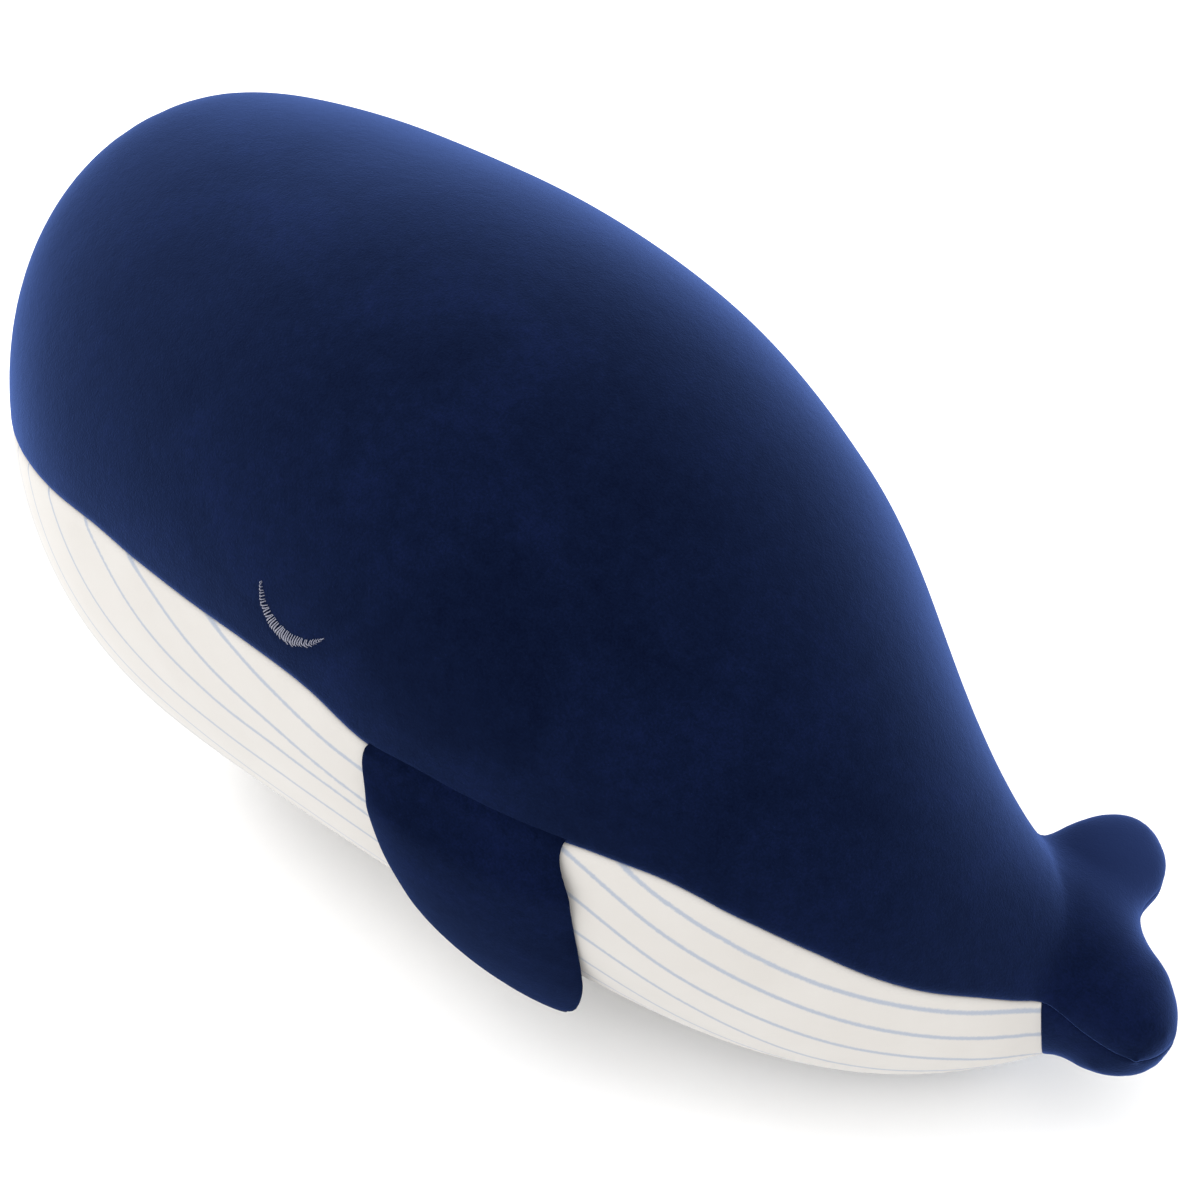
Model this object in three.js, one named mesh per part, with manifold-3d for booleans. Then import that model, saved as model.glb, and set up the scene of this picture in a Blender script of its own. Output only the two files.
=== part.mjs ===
import * as THREE from 'three';
import { mergeVertices } from 'three/addons/utils/BufferGeometryUtils.js';
import Module from 'manifold-3d';

// A stuffed velvet whale lying on its belly. Its head points to -X, its tail to +X and its
// left side to -Y, and Z is up from the floor. Places along the body are measured back from
// the snout, along a spine that turns sideways towards the tail.

const wasm = await Module();
wasm.setup();

// Cloth and making
const fabric_thickness = 2;
const seam_gap = 0.3;                   // between pieces that touch
const press_depth = 0.5;                // how deep the belly is pressed flat on the floor
const overrun = 20;                     // how far a cutting solid reaches past what it cuts

// Body, from the snout to the rear seam of the belly
const body_length = 450;
const head_half_height = 164;
const taper_overrun = 56;               // how far behind the rear seam the body's lines would meet
const taper_length = body_length + taper_overrun;
const half_height_shares = [1, 0.861, 0.813, 0.781, 0.745, 0.69, 0.585, 0.425, 0.189, 0];
const snout_length = 158;               // the stretch over which the head rounds off
const snout_height = 161;
const snout_fullness_share = 2.2;       // 2 is an ellipse, more is blunter
const chin_rise = 17;
const chin_length = 66;
const tail_rise = 14;
const tail_rise_length = 63;
const seam_height_shares = [1, 1, 1, 0.963, 0.913, 0.798, 0.739, 0.559, 0.385, 0.385];

// Tail stock, where the body runs out between the flukes
const stock_end_length = 18;
const stock_end_half_height = 8;

// Flukes, measured back from the rear seam of the belly
const fluke_half_span = 54.5;
const fluke_half_thickness = 16;
const fluke_rear = 36;
const fluke_height = 62;
const fluke_tip_rise = 4;
const right_fluke_shortening = 7;       // the right fluke's rear edge lies further forward
const fluke_span_shares = [0, 0.25, 0.45, 0.64, 0.8, 0.92, 1];
const fluke_front_shares = [0.04, 0.04, 0.04, 0.04, 0.07, 0.15, 0.33];
const fluke_rear_shares = [0.61, 0.83, 0.985, 1, 0.89, 0.75, 0.58];
const fluke_thickness_shares = [0.875, 0.94, 1, 1, 0.86, 0.62, 0.27];

// Sideways turn of the spine, as the toy lies
const tail_turn = THREE.MathUtils.degToRad(24);
const turn_start = 315;
const turn_end = 436.5;

// Tail hinge: a round knuckle of the stuffing inside the rear end of the body
const hinge_setback = 9.8;              // from the belly's rear seam back to the axis

// Side fins, sewn into the seam between back and belly
const fin_front_place = 266;
const fin_rear_place = 334;
const fin_length = 93;
const fin_root_radius = 3.5;
const fin_half_thickness = 7;
const fin_tuck = THREE.MathUtils.degToRad(7);
const fin_root_shares = [-0.95, -0.7, -0.35];
const fin_length_shares = [0, 0.18, 0.4, 0.6, 0.75, 0.86, 0.94, 0.985, 1];
const fin_front_shares = [0, 0.04, 0.1, 0.2, 0.33, 0.47, 0.635, 0.78, 0.855];
const fin_rear_shares = [1, 1.03, 1.1, 1.157, 1.177, 1.16, 1.095, 1, 0.95];
const fin_thickness_shares = [0.57, 0.9, 1, 1, 0.95, 0.85, 0.7, 0.5, 0.4];

// Closed eyes, satin-stitched on the back panel
const eye_place = 231.7;
const eye_height = 171;
const eye_radius = 15.8;
const eye_stitch_width = 3.8;
const eye_stitch_height = 1;
const eye_start = THREE.MathUtils.degToRad(176);
const eye_end = THREE.MathUtils.degToRad(326);

// Fineness of the round forms
const snout_rings = 7;
const body_rings = 15;
const stock_rings = 3;
const body_sides = 28;
const limb_sides = 12;
const knuckle_sides = 40;
const eye_steps = 12;
const spine_steps = 40;
const cutter_steps = 30;

const navy_velvet = { color: 0x14225a, roughness: 0.85, metalness: 0 };
const white_velvet = { color: 0xeae5e1, roughness: 0.9, metalness: 0 };
const polyester_wool = { color: 0xf4f4f2, roughness: 1, metalness: 0 };
const silver_thread = { color: 0xa9adba, roughness: 0.45, metalness: 0 };

const whale = new THREE.Group();

// A closed surface through rings of points. Each ring turns right-handed about the way
// from the first ring to the last.
function loft(rings) {
  const sides = rings[0].length;
  const points = rings.flat();
  const indices = [];
  for (let i = 0; i < rings.length - 1; i += 1) {
    for (let j = 0; j < sides; j += 1) {
      const here = i * sides + j;
      const next = i * sides + (j + 1) % sides;
      indices.push(here, next, here + sides, next, next + sides, here + sides);
    }
  }
  const last = (rings.length - 1) * sides;
  for (let j = 0; j < sides; j += 1) {
    const next = (j + 1) % sides;
    indices.push(points.length, next, j);
    indices.push(points.length + 1, last + j, last + next);
  }
  points.push(middle_of(rings[0]), middle_of(rings.at(-1)));
  const geometry = new THREE.BufferGeometry().setFromPoints(points);
  geometry.setIndex(indices);
  return geometry;
}

function middle_of(ring) {
  const middle = new THREE.Vector3();
  for (const point of ring) middle.addScaledVector(point, 1 / ring.length);
  return middle;
}

// A surface moved along its own normals, outwards for a positive distance
function grown(geometry, distance) {
  const moved = geometry.clone();
  moved.computeVertexNormals();
  const place = new THREE.Vector3();
  const normal = new THREE.Vector3();
  for (let i = 0; i < moved.attributes.position.count; i += 1) {
    place.fromBufferAttribute(moved.attributes.position, i);
    normal.fromBufferAttribute(moved.attributes.normal, i);
    place.addScaledVector(normal, distance);
    moved.attributes.position.setXYZ(i, place.x, place.y, place.z);
  }
  return moved;
}

function solid_from(geometry) {
  const bare = geometry.clone();
  bare.deleteAttribute('normal');
  bare.deleteAttribute('uv');
  const merged = mergeVertices(bare);
  return new wasm.Manifold(new wasm.Mesh({
    numProp: 3,
    vertProperties: new Float32Array(merged.attributes.position.array),
    triVerts: new Uint32Array(merged.index.array),
  }));
}

function add_piece(name, solid, finish) {
  const mesh = solid.getMesh();
  const geometry = new THREE.BufferGeometry();
  geometry.setAttribute('position', new THREE.BufferAttribute(mesh.vertProperties.slice(), 3));
  geometry.setIndex(new THREE.BufferAttribute(mesh.triVerts.slice(), 1));
  const piece = new THREE.Mesh(geometry, new THREE.MeshStandardMaterial(finish));
  piece.name = name;
  whale.add(piece);
}

// A smooth curve through evenly spaced shares
function smooth_share(shares, share) {
  const curve = new THREE.SplineCurve(shares.map((value, i) => new THREE.Vector2(i, value)));
  return curve.getPoint(THREE.MathUtils.clamp(share, 0, 1)).y;
}

function spine_angle(place) {
  return tail_turn * THREE.MathUtils.smoothstep(place, turn_start, turn_end);
}

// The point of the spine at a place along the body, found by walking along its turn
function spine_point(place) {
  const point = new THREE.Vector3(Math.min(place, turn_start), 0, 0);
  const step = Math.max(place - turn_start, 0) / spine_steps;
  for (let i = 0; i < spine_steps; i += 1) {
    const angle = spine_angle(turn_start + (i + 0.5) * step);
    point.x += step * Math.cos(angle);
    point.y += step * Math.sin(angle);
  }
  return point;
}

// Points given as [across, height] pairs, stood square to the spine
function points_at(place, outline) {
  const centre = spine_point(place);
  const angle = spine_angle(place);
  return outline.map(([across, height]) => new THREE.Vector3(
    centre.x - across * Math.sin(angle),
    centre.y + across * Math.cos(angle),
    height,
  ));
}

// How far a flat side of the body's section lies from its middle, against its corners
const side_share = Math.cos(Math.PI / body_sides);

// The body's round section: its half height and the height of its middle
function body_section(place) {
  if (place > body_length) {
    const end = body_section(body_length);
    const share = (place - body_length) / stock_end_length;
    return {
      half: THREE.MathUtils.lerp(end.half, stock_end_half_height, share),
      middle: THREE.MathUtils.lerp(end.middle, fluke_height, share),
    };
  }
  const chin = Math.max(1 - place / chin_length, 0);
  const heel = Math.max(1 - (body_length - place) / tail_rise_length, 0);
  const full = head_half_height * smooth_share(half_height_shares, place / taper_length);
  const rise = chin_rise * chin ** 2 + tail_rise * heel ** 2;
  const middle = full * side_share + rise - press_depth;
  const snout = Math.max(1 - place / snout_length, 0);
  const closing = (1 - snout ** snout_fullness_share) ** (1 / snout_fullness_share);
  return { half: full * closing, middle: THREE.MathUtils.lerp(snout_height, middle, closing) };
}

function seam_height(place) {
  return snout_height * smooth_share(seam_height_shares, place / taper_length);
}

function body_ring(place) {
  const { half, middle } = body_section(place);
  const outline = [];
  for (let j = 0; j < body_sides; j += 1) {
    const angle = (j + 0.5) / body_sides * 2 * Math.PI;
    outline.push([half * Math.cos(angle), middle + half * Math.sin(angle)]);
  }
  return points_at(place, outline);
}

function body_surface() {
  const rings = [];
  for (let i = 0; i < snout_rings; i += 1) {
    const share = (i + 0.3) / snout_rings;
    rings.push(body_ring(snout_length * (1 - Math.cos(share * Math.PI / 2))));
  }
  for (let i = 0; i < body_rings; i += 1) {
    rings.push(body_ring(THREE.MathUtils.lerp(snout_length, body_length, i / body_rings)));
  }
  for (let i = 0; i <= stock_rings; i += 1) {
    rings.push(body_ring(body_length + stock_end_length * i / stock_rings));
  }
  return loft(rings);
}

// Both flukes as one padded form from the right tip to the left, notched behind
function fluke_surface(inset) {
  const rings = [];
  const stations = fluke_span_shares.length - 1;
  for (let i = stations; i >= -stations; i -= 1) {
    const k = Math.abs(i);
    const across = Math.sign(i) * (fluke_half_span - inset) * fluke_span_shares[k];
    const front = body_length + fluke_rear * fluke_front_shares[k] + inset;
    const shortening = Math.max(Math.sign(i), 0) * right_fluke_shortening * fluke_span_shares[k];
    const rear = body_length + fluke_rear * fluke_rear_shares[k] - shortening - inset;
    const height = fluke_height + fluke_tip_rise * fluke_span_shares[k] ** 2;
    const half_thickness = fluke_half_thickness * fluke_thickness_shares[k] - inset;
    const ring = [];
    for (let j = 0; j < limb_sides; j += 1) {
      const angle = j / limb_sides * 2 * Math.PI;
      const place = THREE.MathUtils.lerp(front, rear, 0.5 + 0.5 * Math.cos(angle));
      ring.push(...points_at(place, [[across, height + half_thickness * Math.sin(angle)]]));
    }
    rings.push(ring);
  }
  return loft(rings);
}

// Cutting solids

const top_height = 2 * head_half_height + overrun;
const rear_end = body_length + fluke_rear + overrun;

// Everything along the spine between two heights, each a function of the place
function band(low, high) {
  const rings = [];
  for (let i = 0; i <= cutter_steps; i += 1) {
    const place = THREE.MathUtils.lerp(-overrun, rear_end, i / cutter_steps);
    const { half } = body_section(THREE.MathUtils.clamp(place, snout_length, body_length));
    const reach = Math.max(half, fluke_half_span) + overrun;
    const [bottom, top] = [low(place), high(place)];
    rings.push(points_at(place, [[reach, bottom], [reach, top], [-reach, top], [-reach, bottom]]));
  }
  return solid_from(loft(rings));
}

const above_seam = band((place) => seam_height(place) + seam_gap / 2, () => top_height);
const below_seam = band(() => 0, (place) => seam_height(place) - seam_gap / 2);
const above_floor = band(() => 0, () => top_height);

// The tail hinge lies across the spine, just behind the rear seam of the belly
const stock_section = body_section(body_length);
const knuckle_radius = Math.hypot(stock_section.half, hinge_setback);
const hinge_centre = spine_point(body_length + hinge_setback).setZ(stock_section.middle);

function hinge_cylinder(radius) {
  const length = 2 * (head_half_height + overrun);
  const cylinder = new THREE.CylinderGeometry(radius, radius, length, knuckle_sides);
  cylinder.rotateZ(tail_turn);
  cylinder.translate(hinge_centre.x, hinge_centre.y, hinge_centre.z);
  return solid_from(cylinder);
}

// A block right across the spine between two places behind its turn
function block(from, to) {
  const box = new THREE.BoxGeometry(to - from, 2 * top_height, 2 * top_height);
  box.rotateZ(tail_turn);
  const middle = spine_point((from + to) / 2);
  box.translate(middle.x, middle.y, 0);
  return solid_from(box);
}

const tail_region = block(body_length + seam_gap, rear_end).add(hinge_cylinder(knuckle_radius));
const trunk_cutter = block(body_length, rear_end).add(hinge_cylinder(knuckle_radius + seam_gap));

// Panels and stuffing of the body and the tail

const skin_depth = fabric_thickness + seam_gap;
const body = body_surface();
const around_body = solid_from(grown(body, seam_gap));
const behind_hinge = block(body_length + 2 * seam_gap, rear_end);
const flukes = solid_from(fluke_surface(0)).intersect(behind_hinge);
const fluke_hollow = solid_from(fluke_surface(fabric_thickness)).intersect(behind_hinge);
const hollow = solid_from(grown(body, -fabric_thickness)).add(fluke_hollow);
const skin = solid_from(body).intersect(above_floor).add(flukes).subtract(hollow);
const stuffing = solid_from(grown(body, -skin_depth));
const fluke_stuffing = solid_from(fluke_surface(skin_depth))
  .intersect(behind_hinge)
  .subtract(solid_from(grown(body, seam_gap - skin_depth)));

add_piece('back_panel', skin.intersect(above_seam).subtract(trunk_cutter), navy_velvet);
add_piece('belly_panel', skin.intersect(below_seam).subtract(trunk_cutter), white_velvet);
add_piece('body_filling', stuffing.subtract(trunk_cutter), polyester_wool);
add_piece('tail_top_panel', skin.intersect(above_seam).intersect(tail_region), navy_velvet);
add_piece('tail_under_panel', skin.intersect(below_seam).intersect(tail_region), navy_velvet);
add_piece('tail_filling', stuffing.intersect(tail_region), polyester_wool);

// All space on one side of the spine behind its turn, outwards from the middle seam.
// A side is -1 on the whale's left and 1 on its right.
function side_block(side) {
  const width = head_half_height + overrun;
  const box = new THREE.BoxGeometry(rear_end, width, 2 * top_height);
  box.translate(0, side * (width + seam_gap) / 2, 0);
  box.rotateZ(tail_turn);
  const middle = spine_point(body_length);
  box.translate(middle.x, middle.y, 0);
  return solid_from(box);
}

// Fins

// The point on the body's side at a place along it and a height
function side_point(place, height, side) {
  const { half, middle } = body_section(place);
  const across = Math.sqrt(half ** 2 - (height - middle) ** 2);
  return points_at(place, [[side * across, height]])[0];
}

// The fin's axes: along its root, out along the fin, and through its thickness. The root
// lies a seam's gap outside the body's bulge, so that the fin swings clear of it.
function fin_frame(side) {
  const front = side_point(fin_front_place, seam_height(fin_front_place), side);
  const rear = side_point(fin_rear_place, seam_height(fin_rear_place), side);
  const chord = rear.clone().sub(front).normalize();
  const down = new THREE.Vector3(0, 0, -1).addScaledVector(chord, chord.z).normalize();
  const outward = new THREE.Vector3().crossVectors(chord, down).multiplyScalar(side);
  let bulge = 0;
  for (let i = 0; i <= body_rings; i += 1) {
    const place = THREE.MathUtils.lerp(fin_front_place, fin_rear_place, i / body_rings);
    const beside_root = side_point(place, seam_height(place) - fin_root_radius, side);
    bulge = Math.max(bulge, beside_root.sub(front).dot(outward));
  }
  const reach = down.multiplyScalar(Math.cos(fin_tuck)).addScaledVector(outward, -Math.sin(fin_tuck));
  return {
    origin: front.clone().addScaledVector(outward, bulge + seam_gap + fin_root_radius),
    chord,
    reach,
    through: new THREE.Vector3().crossVectors(reach, chord),
    root_length: front.distanceTo(rear),
  };
}

function fin_ring(frame, front, rear, reach, half_thickness) {
  const ring = [];
  for (let j = 0; j < limb_sides; j += 1) {
    const angle = j / limb_sides * 2 * Math.PI;
    const along = THREE.MathUtils.lerp(front, rear, 0.5 + 0.5 * Math.cos(angle));
    ring.push(frame.origin.clone()
      .addScaledVector(frame.chord, along)
      .addScaledVector(frame.reach, reach)
      .addScaledVector(frame.through, half_thickness * Math.sin(angle)));
  }
  return ring;
}

// A fin with a rounded root, swelling and then thinning to a round tip
function fin_solid(frame, inset) {
  const rings = [];
  const radius = fin_root_radius - inset;
  for (const share of fin_root_shares) {
    const half_thickness = radius * Math.sqrt(1 - share ** 2);
    rings.push(fin_ring(frame, inset, frame.root_length - inset, radius * share, half_thickness));
  }
  fin_length_shares.forEach((share, i) => {
    const front = frame.root_length * fin_front_shares[i] + inset;
    const rear = frame.root_length * fin_rear_shares[i] - inset;
    const half_thickness = fin_half_thickness * fin_thickness_shares[i] - inset;
    rings.push(fin_ring(frame, front, rear, (fin_length - inset) * share, half_thickness));
  });
  return solid_from(loft(rings));
}

// All space on one side of a fin's middle seam, the way its third axis points or the other
function fin_side(frame, way) {
  const size = 2 * (fin_length + overrun);
  const box = new THREE.BoxGeometry(size, 2 * size, size);
  box.translate(0, 0, way * (size + seam_gap) / 2);
  const basis = new THREE.Matrix4().makeBasis(frame.reach, frame.chord, frame.through);
  box.applyMatrix4(basis.setPosition(frame.origin));
  return solid_from(box);
}

const fin_hollow_limit = solid_from(grown(body, seam_gap + fabric_thickness));
const fin_filling_limit = solid_from(grown(body, seam_gap + skin_depth));

function add_fin(name, side) {
  const frame = fin_frame(side);
  const hollow_inside = fin_solid(frame, fabric_thickness).subtract(fin_hollow_limit);
  const cover = fin_solid(frame, 0).subtract(around_body).subtract(hollow_inside);
  add_piece(name + '_fin_outer_panel', cover.intersect(fin_side(frame, -side)), navy_velvet);
  add_piece(name + '_fin_inner_panel', cover.intersect(fin_side(frame, side)), navy_velvet);
  add_piece(name + '_fin_filling', fin_solid(frame, skin_depth).subtract(fin_filling_limit), polyester_wool);
}

// Eyes

// A crescent with pointed ends that opens upwards, like a lid that is shut
function eye_outline() {
  const outer = [];
  const inner = [];
  for (let i = 0; i <= eye_steps; i += 1) {
    const share = i / eye_steps;
    const angle = THREE.MathUtils.lerp(eye_start, eye_end, share);
    const width = eye_stitch_width * Math.sin(share * Math.PI) ** 0.6;
    outer.push(new THREE.Vector2(Math.cos(angle), Math.sin(angle)).multiplyScalar(eye_radius));
    inner.unshift(new THREE.Vector2(Math.cos(angle), Math.sin(angle)).multiplyScalar(eye_radius - width));
  }
  return new THREE.Shape([...outer, ...inner.slice(1, -1)]);
}

const over_stitches = solid_from(grown(body, seam_gap + eye_stitch_height));

function add_eye(name, side) {
  const depth = head_half_height + overrun;
  const prism = new THREE.ExtrudeGeometry(eye_outline(), { depth, bevelEnabled: false });
  prism.rotateX(Math.PI / 2);
  prism.translate(eye_place, Math.max(side, 0) * depth, eye_height);
  const stitches = solid_from(prism).intersect(over_stitches).subtract(around_body);
  add_piece(name + '_eye_stitching', stitches, silver_thread);
}

for (const [name, side] of [['left', -1], ['right', 1]]) {
  add_piece(name + '_fluke_filling', fluke_stuffing.intersect(side_block(side)), polyester_wool);
  add_fin(name, side);
  add_eye(name, side);
}

// The origin goes to the middle of the whale's bounds, on the floor
const bounds = new THREE.Box3().setFromObject(whale);
const middle = bounds.getCenter(new THREE.Vector3());
whale.position.set(-middle.x, -middle.y, -bounds.min.z);

export default whale;
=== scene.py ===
import math
import random

import bmesh
import bpy
import numpy as np
from mathutils import Matrix, Vector
from mathutils.bvhtree import BVHTree


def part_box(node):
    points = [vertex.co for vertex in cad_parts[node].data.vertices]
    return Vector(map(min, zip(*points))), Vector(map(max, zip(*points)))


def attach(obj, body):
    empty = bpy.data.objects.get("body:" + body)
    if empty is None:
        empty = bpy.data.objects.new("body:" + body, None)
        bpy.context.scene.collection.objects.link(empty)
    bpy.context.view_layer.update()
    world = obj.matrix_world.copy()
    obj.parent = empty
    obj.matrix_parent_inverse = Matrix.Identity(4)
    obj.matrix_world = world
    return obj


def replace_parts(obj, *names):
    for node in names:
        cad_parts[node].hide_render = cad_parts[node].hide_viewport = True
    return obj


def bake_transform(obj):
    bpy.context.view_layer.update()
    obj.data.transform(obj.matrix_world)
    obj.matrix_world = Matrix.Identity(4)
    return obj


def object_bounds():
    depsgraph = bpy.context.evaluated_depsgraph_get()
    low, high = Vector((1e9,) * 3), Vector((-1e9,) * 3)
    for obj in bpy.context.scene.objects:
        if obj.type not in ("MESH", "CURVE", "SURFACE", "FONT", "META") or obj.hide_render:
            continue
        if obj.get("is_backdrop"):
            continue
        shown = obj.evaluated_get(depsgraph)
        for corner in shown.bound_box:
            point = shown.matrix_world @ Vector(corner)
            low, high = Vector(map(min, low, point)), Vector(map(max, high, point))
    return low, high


print("Loading the frame")
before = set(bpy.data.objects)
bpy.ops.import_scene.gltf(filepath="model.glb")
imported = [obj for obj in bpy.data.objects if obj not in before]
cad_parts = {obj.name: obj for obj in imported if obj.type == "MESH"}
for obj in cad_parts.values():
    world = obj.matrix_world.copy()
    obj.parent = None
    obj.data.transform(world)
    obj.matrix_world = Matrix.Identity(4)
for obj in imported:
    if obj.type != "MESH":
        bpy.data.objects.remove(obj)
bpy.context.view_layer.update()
mm = 0.001

# The whale is shaped with its spine straight, then bent sideways as it lies. Places are
# measured back from the snout in mm, across is to the whale's right, heights are from the floor.
body = {
    "length": 450,
    "places": [0, 28, 56, 84, 112, 140, 169, 197, 225, 253, 281, 309, 337, 365, 393, 421, 450],
    "halves": [160.1, 149.5, 139.9, 136.1, 132.6, 130.6, 129.6, 127.4, 124.4, 120.9, 115, 106.6,
               96.6, 86.2, 71.3, 50, 30],
    "heightOffsets": [0.2, 0.1, -0.1, -0.7, -0.3, 0.7, 1.6, 2.2, 2, 1.3, 0.3, -0.2, -0.8, -1,
                      -0.4, -0.8, -0.5],
    "snoutLength": 140,
    "snoutHeight": 178.2,
    "snoutFullness": 2.07,
    "softening": 17,
    "snoutSoftening": 13,
    "chinRise": 17,
    "chinLength": 66,
    "tailRise": 14,
    "tailRiseLength": 63,
    "pressDepth": 0.5,
    "stockLength": 24,    # behind the body, inside the flukes
    "stockEndHalf": 9,
    "stockNarrows": 2.4,  # how late it narrows, as a power
    "stockSinks": 1.3,
    "turn": math.radians(24),
    "turnStart": 315,
    "turnEnd": 436.5,
    "snoutX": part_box("back_panel")[0].x / mm - 0.2,
}
seam = {
    "places": [0, 60, 87.5, 104.6, 131, 158, 189, 215, 243, 264.5, 284.5, 298, 311, 324, 338.8,
               345.8, 353.2, 360.5, 367.6, 374.6, 381.7, 388.8, 396, 403.6, 411.4, 424.5, 445,
               470],
    "heights": [163, 163.5, 163.5, 162.7, 161.5, 157.4, 153, 149.2, 142.6, 132.6, 128.4, 125,
                122.1, 120, 118.5, 117.3, 115.6, 112.4, 108.1, 103.9, 99, 93.7, 87.7, 81.7,
                76.1, 68.5, 58.3, 55.5],
    "rearPlace": 445.2,
    "rearSlope": 0.17,
    "rolls": [0.2, 0.6, 1.3, 2.3, 3.6],  # mm from the seam where the cloth rolls in
    "rollWidth": 3.6,
    "rollDepth": 1.5,
    "flukeFade": 0.75,    # the flukes' seam is shallower by this share
    "flukeFadeRange": (-3, 6),
    "flukeRiseRange": (-5, 9),
    "hem": 3,             # mm turned under
    "hemLift": 0.3,
}
flukes = {
    "height": 55.5,
    "tilt": 0.105,        # the right fluke lies higher than the left
    "tipRise": 1,
    "middle": 10,         # mm to the right of the spine
    "halfSpan": 49,
    "thickAbove": 15.7,
    "thickBelow": 22.5,
    "spans": [0, 0.12, 0.2, 0.41, 0.56, 0.66, 0.745, 0.84, 0.91, 0.973, 1.01, 1.035],
    "fronts": [-12, -12, -12, -11, -9, -6, -2, 6, 11.5, 19, 23, 26],
    "rears": [27.5, 30.4, 33.8, 37.8, 39.4, 39.4, 39, 37.5, 35.1, 31.4, 29, 26.5],
    "thicknesses": [0.8, 0.84, 0.9, 1, 1, 1, 0.97, 0.89, 0.75, 0.52, 0.32, 0],
    "rightLean": 10,
    "rightShorter": 8,    # beside the notch
    "shorterRise": (0, 0.14),
    "shorterFall": (0.25, 0.62),
    "underForward": 12,
    "shiftRange": (-10, 20),
}


def smoothAt(knots, values, where):  # a smooth curve through a table
    knots, values = np.asarray(knots, float), np.asarray(values, float)
    slopes = np.gradient(values, knots)
    slopes[0], slopes[-1] = slopes[0] / 2, slopes[-1] / 2
    where = np.clip(where, knots[0], knots[-1])
    i = np.clip(np.searchsorted(knots, where, side="right") - 1, 0, len(knots) - 2)
    wide = knots[i + 1] - knots[i]
    t = (where - knots[i]) / wide
    fromFirst = (2 * t**3 - 3 * t**2 + 1) * values[i] + (t**3 - 2 * t**2 + t) * wide * slopes[i]
    fromSecond = (3 * t**2 - 2 * t**3) * values[i + 1] + (t**3 - t**2) * wide * slopes[i + 1]
    return fromFirst + fromSecond


def easeBetween(low, high, value):
    t = np.clip((np.asarray(value, float) - low) / (high - low), 0, 1)
    return t * t * (3 - 2 * t)


def softened(values, width, mirrored=1):  # takes the kinks out of a profile given at every mm
    reach = 4 * width
    spread = np.exp(-0.5 * (np.arange(-reach, reach + 1) / width) ** 2)
    before = mirrored * values[reach:0:-1]
    after = 2 * values[-1] - values[-2 : -reach - 2 : -1]
    return np.convolve(np.concatenate([before, values, after]), spread / spread.sum(), "valid")


profilePlaces = np.arange(0, body["length"] + 1.0)
chin = np.maximum(1 - profilePlaces / body["chinLength"], 0)
heel = np.maximum(1 - (body["length"] - profilePlaces) / body["tailRiseLength"], 0)
snout = np.clip(1 - profilePlaces / body["snoutLength"], 0, 1)
halves = smoothAt(body["places"], body["halves"], profilePlaces)
talls = halves + smoothAt(body["places"], body["heightOffsets"], profilePlaces) / 2
middles = talls + body["chinRise"] * chin**2 + body["tailRise"] * heel**2 - body["pressDepth"]
closings = (1 - snout ** body["snoutFullness"]) ** (2 / body["snoutFullness"])
halves, talls, middles = (softened(v, body["softening"]) for v in (halves, talls, middles))
closings = softened(closings, body["snoutSoftening"], -1)


def bodySection(place):  # half width and half height of the section, and height of its middle
    inside = np.minimum(np.asarray(place, float), body["length"])
    closing = np.sqrt(np.maximum(np.interp(inside, profilePlaces, closings), 0))
    half = np.interp(inside, profilePlaces, halves) * closing
    tall = np.interp(inside, profilePlaces, talls) * closing
    middle = np.interp(inside, profilePlaces, middles) - body["snoutHeight"]
    middle = body["snoutHeight"] + middle * closing
    beyond = np.clip((place - inside) / body["stockLength"], 0, 1)
    half = half + (body["stockEndHalf"] - half) * beyond ** body["stockNarrows"]
    tall = tall + (body["stockEndHalf"] - tall) * beyond ** body["stockSinks"]
    middle = middle + (flukes["height"] - middle) * easeBetween(0, 1, beyond)
    return half, tall, middle


def flukeRise(across):
    fromMiddle = across - flukes["middle"]
    return flukes["tilt"] * fromMiddle + flukes["tipRise"] * (fromMiddle / flukes["halfSpan"]) ** 2


def seamHeight(place, across):
    behind = easeBetween(*seam["flukeRiseRange"], place - body["length"])
    return smoothAt(seam["places"], seam["heights"], place) + flukeRise(across) * behind


def fromRearSeam(place, fromSeam):  # mm behind the belly's rear seam, which leans back downwards
    lean = math.hypot(1, seam["rearSlope"])
    return (place - seam["rearPlace"] + seam["rearSlope"] * fromSeam) / lean


def spineTurn(place):
    return body["turn"] * easeBetween(body["turnStart"], body["turnEnd"], place)


spinePlaces = np.linspace(0, 560, 1121)
spineSteps = spineTurn((spinePlaces[1:] + spinePlaces[:-1]) / 2)
spineX = np.concatenate([[0], np.cumsum(np.cos(spineSteps) * np.diff(spinePlaces))])
spineY = np.concatenate([[0], np.cumsum(np.sin(spineSteps) * np.diff(spinePlaces))])


def bent(points):  # from the straight whale to the whale as it lies, both in metres
    place, across = points[:, 0] / mm, points[:, 1] / mm
    angle = spineTurn(place)
    x = np.interp(place, spinePlaces, spineX) - across * np.sin(angle) + body["snoutX"]
    y = np.interp(place, spinePlaces, spineY) + across * np.cos(angle)
    return np.stack([x * mm, y * mm, points[:, 2]], axis=1)


# Mesh helpers


def wrappedForm(columns, rows, pointAt):  # a closed form: a sheet rolled up and shaped
    bm = bmesh.new()
    bmesh.ops.create_grid(bm, x_segments=columns, y_segments=rows, size=0.5)
    sheet = np.array([v.co[:2] for v in bm.verts]) + 0.5
    for vert, point in zip(bm.verts, pointAt(sheet[:, 0], sheet[:, 1]) * mm):
        vert.co = point
    bmesh.ops.remove_doubles(bm, verts=bm.verts, dist=0.01 * mm)
    bmesh.ops.holes_fill(bm, edges=bm.edges)
    bmesh.ops.recalc_face_normals(bm, faces=bm.faces)
    return bm


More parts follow.
